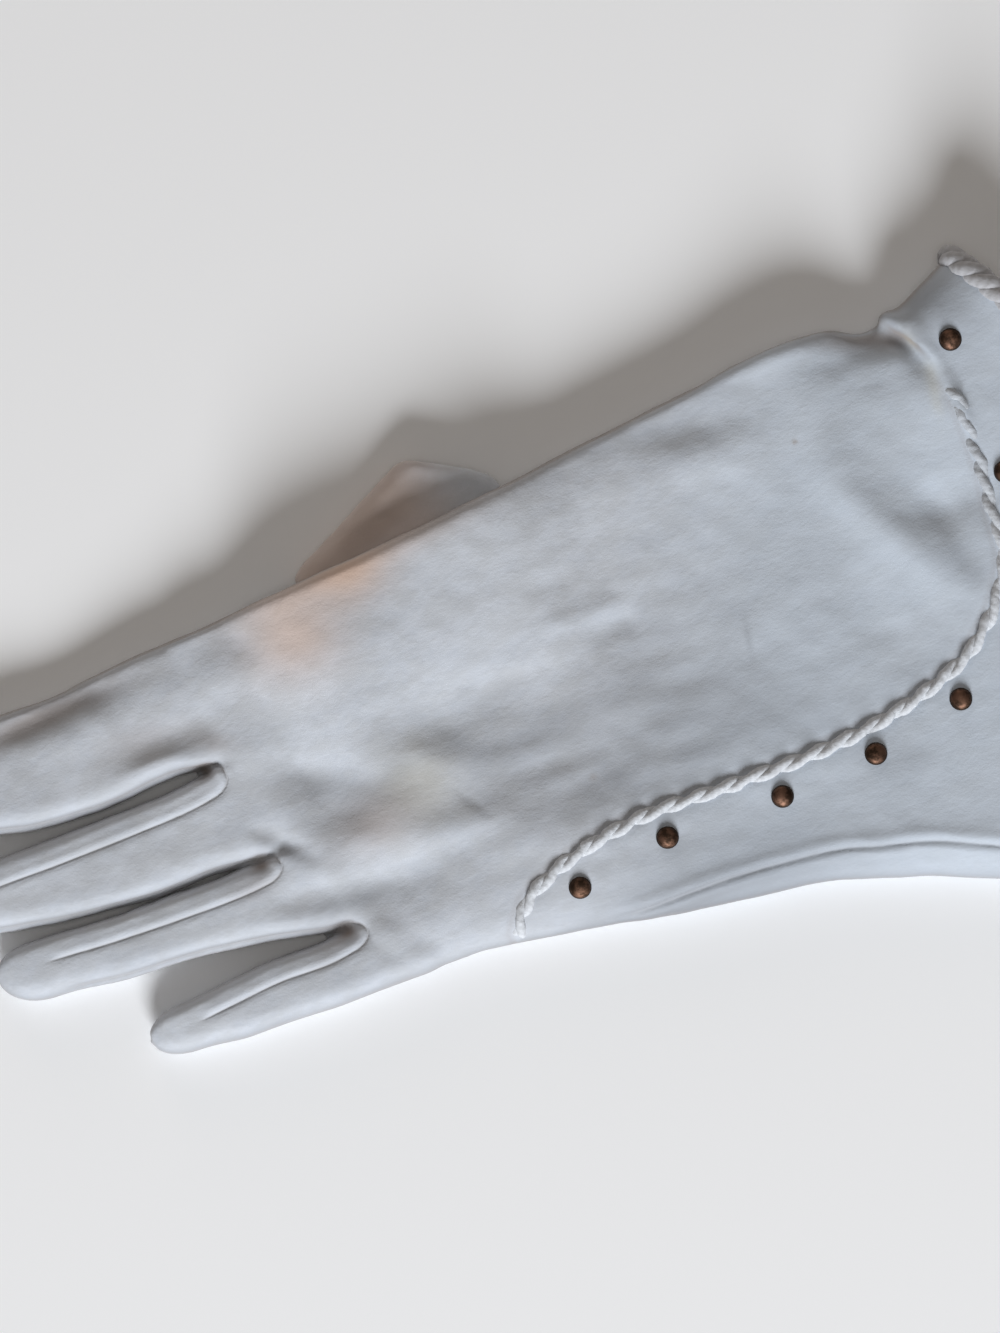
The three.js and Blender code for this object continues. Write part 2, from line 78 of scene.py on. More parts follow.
# Soft waves of the surface: height, wavelength and seed
CLOTH_WAVES = [(0.20, 24, 4), (0.045, 8, 5)]
THUMB_WAVES = [(0.25, 14, 8), (0.12, 6, 9)]
CORD_WAVES = [(0.10, 3.0, 12), (0.06, 1.3, 13)]
WRINKLES = [(0.10, 6.5, 11)]
WRINKLE_RUN = (1.0, 0.28, 1.0)  # fine wrinkles run along the hand
WRINKLES_EVERYWHERE = 0.3
MOST_WRINKLES = (-12, 115, 60, 24, 88)  # a mark without its strength


def table(text):
    """Named columns from lines of text: a heading, then rows of numbers."""
    heading, *rows = (line.split() for line in text.strip().splitlines())
    return dict(zip(heading, np.array(rows, float).T))


# Sections of the hand from the hem to the knuckles: its two edges, the bow of the line between them,
# its height, how far it lies off the ground, how far the thumb props it up, and the roll and
# fullness of its edge towards the thumb
HAND = table("""
thumbX thumbY littleX littleY bow crown lift prop roll fullness
51.4  7.6   -91  15 -22   18 1.9   0  13   1
44.8 26.5   -84  30  -8   15   0   0  10 1.6
48.4 36.5   -79  41  -5 13.5   0   0 5.5 3.6
49.7   50 -73.6  52  -2 12.5   0   0 5.5   4
48.7   66 -66.4  67   0   12   0   0 5.5   4
  48   83 -60.2  83   0 11.5   0   0 5.5   4
47.2  100 -56.6 100   0 11.2   0   0 5.5   4
  46  118 -52.8 118   0   11   0   4 5.5   4
45.2  138 -48.4 136   0   11   0 4.7 5.5   4
  45  165   -44 156   1 10.6   0 4.7 5.5   4
  45  180 -43.2 166   3 10.2   0   0 5.5   4
  45  192 -42.8 173   5  9.6   0   0 5.5   4
  44  200 -42.4 181   5    3   0   0 5.5   4
""")
HEM = {name: column[0] for name, column in HAND.items()}  # its first section


def finger(tip, strip, sections):
    """A finger: Y of its tip, width of the strip beside it, and its sections up to where the tip
    starts to round off."""
    return {"tip": tip, "strip": strip, "rows": table("y littleX thumbX crown" + sections)}


FINGERS = {
    "index": finger(263, 8, """
182 14.6 44.6 9.6
192 15.6 44.9 9.6
202 17.5 45.1 9.4
218 17.4 44.3 9.2
234 19.4 45.2   9
250 23.6 44.6 8.6
"""),
    "middle": finger(269, 5.6, """
179 -8.2 17.8 9.8
190 -7.2 16.8 9.8
202 -5.2 15.3 9.6
218 -4.4 15.6 9.2
234   -2 16.3   9
248  1.2 17.2 8.8
259    4 17.4 8.4
"""),
    "ring": finger(256, 5.4, """
170 -28.6 -4.6 9.8
186 -26.6 -5.4 9.8
198 -23.2 -6.3 9.6
214   -20 -5.4 9.2
230   -18 -3.9   9
246 -15.2   -2 8.4
"""),
    "little": finger(231, 5, """
160 -43.4 -24.6 9.6
174   -43 -25.6 9.6
187 -42.4 -27.6 9.4
200 -41.2 -26.8 9.2
212   -40 -27.2 8.8
222 -38.4 -27.6 8.4
"""),
}

# Strips between two fingers: the finger that shows the strip, the finger that hides it, and the Y
# of the rounded rim at the bottom of the slot
FOURCHETTES = {
    "fourchette_index_middle": ("middle", "index", 192.5),
    "fourchette_middle_ring": ("ring", "middle", 189.5),
    "fourchette_ring_little": ("little", "ring", 178.5),
}
RIM_RADIUS = 5
SEAM_END = 10  # a strip's seam ends this far before the fingertip
SEAM_BESIDE = 0.9  # how far that seam lies inside the finger that hides the strip


def marks(rows):
    """Marks on the plan: the centre, length and width of each, the turn of its length from X
    towards Y in degrees, and its height or strength."""
    return table("x y long wide turn amount" + rows)


# Soft dents and ridges of the back
FOLDS = marks("""
    4  137 27  15  88 -4.2
    8  100 40  16  90 -0.5
  -31  112 38  12  88    1
   31  170 24  12  90  0.9
   36  100 40   9  88  0.7
   20  205 18   6  90  0.6
-23.6  170 20   5 100 -1.1
    5  174 12 4.5  65 -1.3
    6  138 18   6  86 -0.8
  -13  167 16 5.5  80  1.1
  -23  140 20 6.5  62  1.1
   26  202 12 3.5  88 -1.2
   41  220 24 3.5  90 -1.6
    1   38 16 6.5  28  1.4
   26   46 20   6   4  0.9
    4   27  8 5.5  80 -1.5
   27   22 12 4.5   8  1.1
  -16   50 14   6  18 -0.9
 41.5   73 12   4  80   -1
   34   71 10   5  75  0.7
   41   30 13   6  56 -3.4
   40 23.2  5 2.2  62 -1.6
""")

# The line where the upper cloth meets the palm side: its place on the little finger's side of the
# back, and its height over the ground on the two edges
SIDE_SEAM = table("""
y x littleZ thumbZ
-30  -104   5  7.5
 14   -83   5    7
 30   -76   5  6.5
 47 -67.8   5    6
 60   -61   5  5.6
 71 -57.3   5  5.6
 81 -54.1   5  5.6
103 -50.7   5    8
121 -49.6   5 10.3
133   -53   5 10.3
166   -60 4.6 10.3
174   -60 3.4    7
184   -60 2.3  2.3
300   -60 2.3  2.3
""")

# Where that line fades out on the back, beside the little finger's edge
SIDE_SEAM_END = [(-48.8, 128), (-47.4, 136)]
SIDE_SEAM_ROWS = 9  # rows of the table before that

# The corded seam from the little finger's edge round to the crease at the thumb's edge
CUFF_SEAM = [
    (-43.4, 149.4), (-39.6, 146.6), (-36.3, 142.4), (-32.6, 131), (-31, 114),
    (-32.3, 97), (-33.7, 75), (-32.7, 56), (-28.7, 39.5), (-22, 29), (-12.2, 21.6),
    (-1.5, 19.4), (8, 17.8), (20.8, 16.8), (33.1, 17.4), (41, 19),
]

# Cords: their strands, the length of one turn, a strand's radius and its distance from the middle
SEAM_STRANDS = {"strands": 2, "lay": 13.4, "radius": 1.03, "offset": 0.66}
HEM_STRANDS = {"strands": 3, "lay": 13.5, "radius": 1.72, "offset": 1.0}
HEM_REACH = 2  # how far the hem's cord lies beyond the cloth's edge

# The seam's cord: X beyond which it lies under the crease, how far it stands out of the cloth and
# sinks in all along, where it sinks further (by how much, over X or Y, from and to), and how
# strongly its light colour is lost where it is pressed
SEAM_CORD_END = 35
SEAM_CORD_RISE = 0.45
SEAM_CORD_SUNK = 0.4
SEAM_CORD_SINKS = [(0.4, 0, -30, -8), (0.8, 0, 6, 18), (1.3, 0, 23, 32), (0.5, 1, 141, 149)]
SEAM_CORD_PRESSED = 0.85

# Where the studs sit
STUDS = [
    (-39.4, 133), (-37.2, 111.5), (-39.2, 85.4), (-39, 63.4), (-35.7, 42), (-21.7, 20.4),
    (5, 13.7), (35.6, 13),
]

# Ridges and grooves along the seams: height, place across the seam and width
STRIP_RELIEF = [(0.24, 1.1, 0.75), (-0.4, 0, 0.6)]
SIDE_RELIEF = [(0.35, 1.3, 1.2), (0.5, -1.6, 1.4), (-0.35, 0, 0.5)]
CUFF_RELIEF = [(-0.4, 0, 1.2), (-0.15, 2.0, 1.0)]
CUFF_RELIEF_AT_CREASE = [(0.35, 0, 1.8)]

# The small pocket at the end of each strip, dented and darkened with painted shade: place from the
# end of its seam, size and depth
POCKET_PLACE = (-0.6, -0.8)
POCKET_SIZE = (1.5, 2.2)
POCKET_DEPTH = 0.9

# Creases and ridges of the cloth: height, width, and X and Y of the places on the line of each
CREASES = """
 0.35 1.5  -10 180  -7.4 186  -5.4 190
 -0.9 2.0  2.5 194  -1.5 190  -5.5 186.5  -12 180.5
 -1.0 2.6  -15.5 198  -17 189  -19.5 179  -21.5 168
  0.5 2.0  21 214  22 205  19 197  13 190
  0.5 4.0  38 190  34 184  29 174
 -0.8 2.0  41 240  41 227  41.4 214  42 203
  0.6 4.0  34 230  34 218  37 208
  0.7 4.0  -15 178  -16 165  -17 148  -16 132  -15 112
  0.6 3.5  -11 178  -11 166  -12 156
 -1.1 3.6  -1.5 180  -2 164  -4 148
 -1.1 4.2  12 156  6 151  1 144  -1 134  -0.6 122  0.5 106
 -0.3 2.5  -18 132  -19 122  -19 110
 -0.4 5.0  -2 80  10 80  20 87
  0.5 2.5  16 122  14 112  13 96
 -0.4 3.0  24 120  22 106
 -0.4 2.5  8 112  9 96
-0.15 1.1  -8 149.6  -19 143.6
  0.8 4.0  -22 36  -12 36  0 40  12 46  30 48
 -0.8 3.0  -16 27  -8 28  2 29  10 33
  0.7 2.6  47 72  47.8 60  47.8 50  46.6 43  43.5 36.5  40 31  36.5 26
  0.8 3.0  40 38  37.5 31  35.5 25  34 21.5
  1.9 2.3  53 33  46.9 25.2  42.5 21  38 18.6  33.5 17.6  30 17.1
  1.2 1.6  41 19.6  37 18.1  33.1 17.4  27 17  20.8 16.8  14 17.3
 -1.4 2.0  48 38  46.6 33  45.4 30  43.6 26.6  40.4 23  35 21  29 20.8
"""

# Tones of the cloth: stains, soiling and painted shade
MARKS = {
    # Grey marks: partly soiling, partly painted shade in creases, slits, hollows and on slopes turned
    # away from the light
    "grey_soil_and_shade": marks("""
  -17   106  36  14  90 0.28
   -9   128  24   5  92 0.22
   -7   166  13   5  86 0.38
  3.2 174.5   9 2.8  59 0.34
    1 169.5   7   3  71  0.1
  1.8 145.8   8 2.6  37 0.36
 -4.6   128  14   3  91 0.22
  -22   121  12   4  88  0.2
 -7.2   187   7 1.8  42 0.46
  -22   180  12 2.8  80 0.44
   45  60.5   4   2  80  0.2
  -18    85  22   8  60 0.15
  -47   104  34   9  83 0.36
  -42    60   9   4  80 0.25
    8   224  12   4  90 0.15
   -5  78.2   4 0.7 167 0.28
-13.5 146.6 4.5 0.8  30 0.18
   43    75  12   3  85  0.2
   -9    30   7   4  15 0.25
   43    11  11   7  32 0.48
   47    20   6   4  60 0.25
 40.2  22.8 3.4 1.5  62  0.3
   -2   159  14 2.8  95  0.3
  0.5   158   5 2.5  90  0.2
  -54   100  42   6  82  0.3
 41.5    30   8   3  70 0.25
   44    82  36 2.4  91 0.18
    5   134  11   3  88 0.24
    4    96   8   4  90 0.24
  -17   174   8   5  80 0.08
   36   172   9   6  90  0.2
   20   130  14   8  90 0.08
   30    11   9   4   8 0.12
"""),
    # Brown marks: partly a brown tint, partly painted shade in the index finger's side fold, at the
    # slot ends, in the crease's pocket and along the hand's edge over the thumb
    "brown_tint_and_shade": marks("""
41.2  225  20   3 91 0.68
27.5  206  10   4 82 0.36
  21  192   5 2.6 55 0.32
40.2 22.8 3.4 1.5 62 0.35
  42   27   5 2.4 60  0.3
43.5  153   8   3 95 0.32
  45   33   9   3 72 0.42
45.6  138  28 2.2 91  0.5
  -9  167   9   5 90  0.1
 -11  197   5   3 90 0.28
 -28  186   5   3 90 0.28
"""),
    "peach": marks("""
34.5   167 8.5 10 0 0.62
  41   168   4 10 0 0.15
40.5 150.5   5  8 0  0.6
43.5   150   3 22 0 0.45
  -9   167   6  9 0 0.18
"""),
    "yellow": marks("""
-4.5  155   8   8 0 0.22
  39 20.4 2.4 1.4 0  0.2
  31 19.6 2.5 1.4 0  0.2
27.5 20.4 2.5 1.2 0  0.2
  24 21.3 2.5 1.2 0 0.15
"""),
    "dirt": marks("""
 29.2  52.1 0.55 0.6 0 0.65
-18.9 120.8  0.8 0.8 0  0.3
"""),
}

# How far each layer of marks takes the cotton to a colour of its own
COTTON_TONES = {
    "cool": (0.5, (0.49, 0.56, 0.64)),
    # grey: soiling and painted shade
    "grey_soil_and_shade": (1.0, (0.22, 0.23, 0.25)),
    # brown: a brown tint and painted shade
    "brown_tint_and_shade": (1.0, (0.24, 0.19, 0.16)),
    "peach": (1.0, (0.68, 0.50, 0.40)),
    "yellow": (1.0, (0.66, 0.60, 0.42)),
    "dirt": (1.0, (0.28, 0.22, 0.17)),
    # pocket: painted shade in the pockets at the strips' ends
    "pocket_dent_and_shade": (0.8, (0.20, 0.15, 0.12)),
}

# Sections of the thumb from inside the hand out to its fold and back under the palm: the ends of
# each, and the turn round the fold in degrees
THUMB = table("""
farX farY nearX nearY turn
38.6 160.6  41.6 113.6   0
41.4 160.8    49 114.4   0
41.8   161  54.4 121.2   0
42.6 161.2  57.5 125.8   0
42.6 161.2 56.85 127.2  45
42.6 161.2  56.2 128.6  90
42.6 161.2  56.2 128.6 135
42.6 161.2  56.2 128.6 180
  33 162.2    40 132.8 180
  22 162.2    24   136 180
  11   161  11.6 139.6 180
 5.6 157.6   5.8 143.4 180
 3.4 153.4   3.5   148 180
""")
THUMB_FOLD = np.array([(42.6, 161.2), (56.2, 128.6)])
THUMB_THICKNESS = 4
THUMB_ROLL = 3
THUMB_LEVELS = (2.0, 7.0)


# Curves and distances


def smooth_at(column, rows):
    """Values of a column at fractional rows, on a smooth curve through the rows."""
    i = np.clip(np.floor(rows).astype(int), 0, len(column) - 2)
    t = rows - i
    a, b, c, d = (column[np.clip(i + k, 0, len(column) - 1)] for k in (-1, 0, 1, 2))
    return b + 0.5 * t * (c - a + t * (2 * a - 5 * b + 4 * c - d + t * (3 * (b - c) + d - a)))


def along_finger(part, column, y):
    """Values of a column of a finger's table at places along the finger."""
    rows = part["rows"]
    return smooth_at(rows[column], np.interp(y, rows["y"], np.arange(len(rows["y"]))))


def smoothstep(low, high, value):
    """0 up to `low` and 1 from `high` on, with a soft step between. `low` may be the greater."""
    t = np.clip((value - low) / (high - low), 0, 1)
    return t * t * (3 - 2 * t)


def line_length(points):
    """Length of a line from its start to each of its points."""
    return np.r_[0, np.cumsum(np.linalg.norm(np.diff(points, axis=0), axis=1))]


def at_length(places, length, values):
    """Values of a line's points at places along its length."""
    return np.stack([np.interp(places, length, column) for column in values.T], axis=1)


def unit(vectors):
    """The vectors at length 1."""
    return vectors / np.linalg.norm(vectors, axis=1, keepdims=True)


def smooth_line(points, step):
    """Points about `step` apart on a smooth curve through the given points."""
    points = np.asarray(points, float)
    fine = np.linspace(0, len(points) - 1, 40 * len(points))
    dense = np.stack([smooth_at(column, fine) for column in points.T], axis=1)
    length = line_length(dense)
    return at_length(np.linspace(0, length[-1], max(2, round(length[-1] / step) + 1)), length, dense)


def line_distance(points, line, most=FAR):
    """Signed distance of plan points from a polyline, positive on its left, and the share of the
    line's length at the nearest place. Points further away than `most` get -`most`."""
    distance = np.full(len(points), -most)
    share = np.zeros(len(points))
    low, high = line.min(0) - most, line.max(0) + most
    near = np.flatnonzero(((points >= low) & (points <= high)).all(axis=1))
    length = line_length(line)
    best = np.full(len(near), -most)
    for i, (a, b) in enumerate(zip(line[:-1], line[1:])):
        along = b - a
        offset = points[near] - a
        t = np.clip(offset @ along / (along @ along), 0, 1)
        gap = offset - t[:, None] * along
        away = np.hypot(*gap.T)
        side = np.where(along[0] * offset[:, 1] - along[1] * offset[:, 0] >= 0, 1, -1)
        closer = away < np.abs(best)
        best[closer] = (away * side)[closer]
        share[near[closer]] = (length[i] + t[closer] * (length[i + 1] - length[i])) / length[-1]
    distance[near] = best
    return distance, share


def bell(distance, width):
    """1 at distance 0, falling softly to 0 on both sides."""
    return np.exp(-((distance / width) ** 2))


def undulation(points, wavelength, seed):
    """Soft random waves of about one wavelength, mostly within -1 and 1."""
    random = np.random.default_rng(seed)
    total = np.zeros(len(points))
    count = 14
    for _ in range(count):
        direction = random.normal(size=3)
        direction *= 2 * math.pi / wavelength / np.linalg.norm(direction) * random.uniform(0.7, 1.4)
        total += np.sin(points @ direction + random.uniform(0, 2 * math.pi))
    return total / math.sqrt(count / 2) / 1.6


def mound(x, y, middle_x, middle_y, long, wide, turn):
    """1 at the middle of a long mark, falling to 0 round it."""
    turn = math.radians(turn)
    along = ((x - middle_x) * math.cos(turn) + (y - middle_y) * math.sin(turn)) / long
    across = ((y - middle_y) * math.cos(turn) - (x - middle_x) * math.sin(turn)) / wide
    return np.exp(-(along**2) - across**2)


def mounds(x, y, rows):
    """Sum of a table's marks."""
    return sum(amount * mound(x, y, *place) for *place, amount in zip(*rows.values()))


def waves(points, rows):
    """Height of soft waves, each with its height, wavelength and seed."""
    return sum(height * undulation(points, wavelength, seed) for height, wavelength, seed in rows)


def relief(distance, rows):
    """Height of the ridges and grooves along a line, at distances from it."""
    return sum(height * bell(distance - place, width) for height, place, width in rows)


def circle(count):
    """Cosines and sines of evenly spaced turns."""
    angle = 2 * np.pi * np.arange(count) / count
    return np.cos(angle), np.sin(angle)


def traces(distance):
    """1 close to a line, falling to 0 where its distance is no longer measured."""
    return smoothstep(FAR - 1, FAR - 3, np.abs(distance))


# The cloth as a solid


def hand_map(xs, ys):
    """Share across and fractional row along the hand at each place of a plan grid."""
    last = len(HAND["bow"]) - 1
    shares = np.linspace(-1, 1, ACROSS)
    rows = np.linspace(-1, last, ALONG)
    at = {name: smooth_at(column, np.maximum(rows, 0)) for name, column in HAND.items()}
    run_on = np.minimum(rows, 0) * HEM_RUN
    thumb, little = at["thumbY"] + run_on, at["littleY"] + run_on
    s = shares[:, None]
    x_of = (at["thumbX"] + at["littleX"]) / 2 + s * (at["thumbX"] - at["littleX"]) / 2
    y_of = (thumb + little) / 2 + s * (thumb - little) / 2 + at["bow"] * (1 - s**2)
    rows_at = np.array([np.interp(ys, line, rows) for line in y_of])
    x_at = np.array([np.interp(row, rows, line) for row, line in zip(rows_at, x_of)])
    share = np.empty((len(xs), len(ys)))
    row = np.empty_like(share)
    for j in range(len(ys)):
        share[:, j] = np.interp(xs, x_at[:, j], shares)
        row[:, j] = np.interp(share[:, j], shares, rows_at[:, j])
    half = (x_at[-1] - x_at[0]) / 2
    share += np.minimum(xs[:, None] - x_at[0], 0) / half
    share += np.maximum(xs[:, None] - x_at[-1], 0) / half
    row += np.maximum(ys - np.interp(share, shares, y_of[:, -1]), 0) / ROW_BEYOND
    row += np.minimum(ys - np.interp(share, shares, y_of[:, 0]), 0) / ROW_BEYOND
    return share, row


def tube_value(z, half, share, rolls, base, over, under, fullness):
    """Negative inside a flattened tube and positive outside, near 0 by the share of a roll. A
    fullness over 1 keeps the side towards the thumb high until close to its edge."""
    over_side = z >= base
    reach = {side: np.where(over_side, rolls[side], rolls["under"]) for side in ("thumb", "little")}
    thumb = np.maximum(0, 1 - half * (1 - share) / reach["thumb"]) ** np.where(over_side, fullness, 1)
    little = np.maximum(0, 1 - half * (1 + share) / reach["little"])
    upright = (z - base) / np.where(over_side, over, under)
    return np.sqrt(thumb**2 + little**2 + upright**2) - 1


def smooth_union(a, b, blend):
    """The lower of two values, rounded off where they are within `blend` of each other."""
    near = np.maximum(blend - np.abs(a - b), 0) / blend
    return np.minimum(a, b) - near**2 * blend / 4


def cloth_values(xs, ys, zs, inset):
    """Grid of values that is negative inside the cloth's solid. `inset` is the cloth's thickness
    for its inner face, and 0 for its outer one."""
    x, y = xs[:, None], ys[None, :]
    share, row = hand_map(xs, ys)
    last = len(HAND["bow"]) - 1
    clipped = np.clip(row, 0, last)
    at = {name: smooth_at(column, clipped) for name, column in HAND.items()}
    half = np.hypot(at["thumbX"] - at["littleX"], at["thumbY"] - at["littleY"]) / 2
    marks = mounds(x, y, FOLDS)
    propped = np.maximum(at["prop"], 0) * smoothstep(PROP_FROM, PROP_FULL, x)
    base = np.maximum(at["lift"], 0) + propped + EDGE_LEVEL * at["crown"]
    rise = at["crown"] * (1 - EDGE_LEVEL) + marks
    lowered = np.maximum(0, LEAST_RISE - rise)
    base, rise, under = base - lowered, rise + lowered, EDGE_LEVEL * at["crown"] - lowered
    rolls = {side: reach - inset for side, reach in HAND_ROLL.items()}
    rolls["thumb"] = at["roll"] - inset
    across = share / (1 - inset / half)
    hand = (half - inset, across, rolls, base, rise - inset, under - inset, at["fullness"])
    ends = np.maximum(row - last + (LINING_SHORT if inset else 0), -row - 1) * END_STEEPNESS
    tubes = []
    for part in FINGERS.values():
        rows = part["rows"]
        first_y, before_y, last_y = rows["y"][[0, -2, -1]]
        thumb_x, little_x, crown = (along_finger(part, k, ys) for k in ("thumbX", "littleX", "crown"))
        turn = np.clip((ys - last_y) / (part["tip"] - inset - last_y), 0, 1.2)
        scale = np.sqrt(np.maximum(1 - turn**2, 1e-4))
        change = (rows["thumbX"] + rows["littleX"])[-2:] / 2
        lean = (change[1] - change[0]) / (last_y - before_y)
        middle = (thumb_x + little_x) / 2 + lean * np.maximum(ys - last_y, 0)
        breadth = (thumb_x - little_x) / 2 - inset
        level = EDGE_LEVEL * crown
        rolls = {side: reach - inset for side, reach in FINGER_ROLL.items()}
        rolls["thumb"] = part["strip"] - inset
        rise = crown * (1 - EDGE_LEVEL) + marks - inset
        across = (x - middle) / (breadth * scale)
        tube = (breadth, across, rolls, 0, rise, level - inset, FINGER_FULLNESS)
        start = np.maximum(first_y + FINGER_START - ys, 0) ** 2 / FINGER_SOFTNESS
        tubes.append((level, scale, start + np.maximum(turn - 1, 0) * TIP_STEEPNESS, tube))
    values = np.empty((len(xs), len(ys), len(zs)), np.float32)
    for k, z in enumerate(zs):
        total = np.maximum(tube_value(z, *hand), ends)
        for level, scale, limit, tube in tubes:
            value = tube_value((z - level) / scale, *tube) + limit
            total = smooth_union(total, value, FINGER_BLEND)
        values[:, :, k] = total
    return values


def surface_net(values, low, step):
    """Points and outward quads over the zero level of a grid that is positive all round."""
    cells = np.array(values.shape) - 1
    sums = np.zeros((3, cells.prod()))
    count = np.zeros(cells.prod())
    quads = []
    for axis in range(3):
        crossing = np.argwhere(np.diff(values < 0, axis=axis))
        step_on, b, c = np.roll(np.eye(3, dtype=int), -axis, axis=0)
        first = values[tuple(crossing.T)].astype(float)
        second = values[tuple((crossing + step_on).T)]
        place = crossing + (first / (first - second))[:, None] * step_on
        round_edge = [
            np.ravel_multi_index((crossing + offset).T, cells) for offset in (-b - c, -c, 0 * b, -b)
        ]
        for cell in round_edge:
            for k in range(3):
                sums[k] += np.bincount(cell, place[:, k], minlength=len(count))
            count += np.bincount(cell, minlength=len(count))
        quad = np.stack(round_edge, axis=1)
        quads.append(np.where(first[:, None] < 0, quad, quad[:, ::-1]))
    used = np.flatnonzero(count)
    number = np.full(len(count), -1)
    number[used] = np.arange(len(used))
    points = (sums[:, used] / count[used]).T * step + low
    return points, number[np.concatenate(quads)]


def neighbours(quads):
    """Both directions of each edge of a mesh of quads, once each."""
    edges = np.concatenate([quads[:, [i, (i + 1) % 4]] for i in range(4)])
    return np.unique(np.concatenate([edges, edges[:, ::-1]]), axis=0)


def relax(points, quads, rounds):
    """Evens out a mesh: each point moves half way to the middle of its neighbours."""
    edges = neighbours(quads)
    count = np.bincount(edges[:, 0], minlength=len(points))[:, None]
    for _ in range(rounds):
        sums = [np.bincount(edges[:, 0], points[edges[:, 1], k], len(points)) for k in range(3)]
        points = points + 0.5 * (np.stack(sums, axis=1) / count - points)
    return points


def point_normals(points, quads):
    """Unit normals at the points of a mesh of quads."""
    a, b, c, d = (points[quads[:, k]] for k in range(4))
    face = np.cross(c - a, d - b)
    total = np.zeros_like(points)
    for k in range(4):
        for axis in range(3):
            total[:, axis] += np.bincount(quads[:, k], face[:, axis], len(points))
    return total / np.maximum(np.linalg.norm(total, axis=1, keepdims=True), 1e-9)


def cloth_skin(step, inset, rounds):
    """Points and quads of the cloth's outer or inner face, still closed over the hem's mouth."""
    xs, ys, zs = (np.arange(low, high, step) for low, high in zip(GRID_LOW, GRID_HIGH))
    points, quads = surface_net(cloth_values(xs, ys, zs, inset), GRID_LOW, step)
    return relax(points, quads, rounds), quads


# Meshes


def new_object(name, points, faces, node, material, normals=None, layers=None, uvs=None):
    """A smooth piece from plan points in millimetres, which stands for a node of the frame."""
    mesh = bpy.data.meshes.new(name)
    corners = faces.shape[1]
    mesh.vertices.add(len(points))
    mesh.vertices.foreach_set("co", ((points + PLAN_ORIGIN) / 1000).astype(np.float32).ravel())
    mesh.loops.add(faces.size)
    mesh.loops.foreach_set("vertex_index", faces.astype(np.int32).ravel())
    mesh.polygons.add(len(faces))
    mesh.polygons.foreach_set("loop_start", np.arange(0, faces.size, corners, dtype=np.int32))
    mesh.polygons.foreach_set("use_smooth", np.ones(len(faces), bool))
    mesh.update(calc_edges=True)
    for layer, values in (layers or {}).items():
        attribute = mesh.attributes.new(layer, "FLOAT", "POINT")
        attribute.data.foreach_set("value", values.astype(np.float32))
    if uvs is not None:
        mesh.uv_layers.new(name="twist").data.foreach_set("uv", uvs.astype(np.float32).ravel())
    mesh.validate()
    if normals is not None:
        mesh.normals_split_custom_set_from_vertices(normals.astype(np.float32))
    mesh.materials.append(material)
    piece = bpy.data.objects.new(name, mesh)
    bpy.context.scene.collection.objects.link(piece)
    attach(piece, "root")
    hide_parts(node)
    return piece


def part_of(points, faces, chosen, *per_point):
    """The chosen faces with only the points that they use, and the same points' other values."""
    kept = faces[chosen]
    used, index = np.unique(kept, return_inverse=True)
    return points[used], index.reshape(kept.shape), [values[used] for values in per_point]


# Nodes of materials


class Shader:
    """Short ways to add nodes to a material."""

    def __init__(self, name):
        self.material = bpy.data.materials.new(name)
        self.material.use_nodes = True
        self.tree = self.material.node_tree
        self.surface = self.tree.nodes["Principled BSDF"]

    def node(self, kind, settings=None, **inputs):
        made = self.tree.nodes.new(f"ShaderNode{kind}")
        for name, value in (settings or {}).items():
            setattr(made, name, value)
        for name, value in inputs.items():
            self.put(made.inputs[name.replace("_", " ")], value)
        return made

    def put(self, socket, value):
        if isinstance(value, bpy.types.NodeSocket):
            self.tree.links.new(value, socket)
        else:
            socket.default_value = value

    def math(self, operation, *values, clamp=False):
        made = self.node("Math", {"operation": operation, "use_clamp": clamp})
        for socket, value in zip(made.inputs, values):
            self.put(socket, value)
        return made.outputs[0]

    def times(self, *values):
        return self.math("MULTIPLY", *values)

    def plus(self, *values):
        return self.math("ADD", *values)

    def layer(self, name):
        return self.node("Attribute", {"attribute_name": name}).outputs["Fac"]

    def noise(self, scale, detail=3.0, roughness=0.55, stretch=(1, 1, 1), turn=0.0):
        place = self.node("TexCoord").outputs["Object"]
        mapping = self.node("Mapping", Vector=place, Scale=stretch, Rotation=(0, 0, turn))
        texture = self.node(
            "TexNoise", Vector=mapping.outputs[0], Scale=scale, Detail=detail, Roughness=roughness
        )
        return texture.outputs["Fac"]

    def ramp(self, value, *stops):
        """A smooth curve through (place, height) stops."""
        made = self.node("ValToRGB", Fac=value)
        made.color_ramp.interpolation = "EASE"
        elements = made.color_ramp.elements
        while len(elements) < len(stops):
            elements.new(0.5)
        for element, (place, height) in zip(elements, stops):
            element.position = place
            element.color = (height, height, height, 1)
        return made.outputs["Color"]

    def mix(self, share, first, second):
        """A blend of two colours, each a socket or red, green and blue."""
        made = self.node("Mix", {"data_type": "RGBA"})
        self.put(made.inputs["Factor"], share)
        for socket, color in ((made.inputs[6], first), (made.inputs[7], second)):
            self.put(socket, (*color, 1) if isinstance(color, tuple) else color)
        return made.outputs[2]

    def bell(self, value, width):
        """1 where the value is 0, falling to 0 over about `width` on both sides."""
        share = self.math("DIVIDE", value, width)
        return self.math("EXPONENT", self.times(self.times(share, share), -1.0))

    def bump(self, height, strength, distance, **normal):
        made = self.node("Bump", Height=height, Strength=strength, Distance=distance, **normal)
        return made.outputs["Normal"]

    def finish(self, **inputs):
        """The material, with the inputs of its surface set or linked."""
        for name, value in inputs.items():
            self.put(self.surface.inputs[name.replace("_", " ")], value)
        return self.material


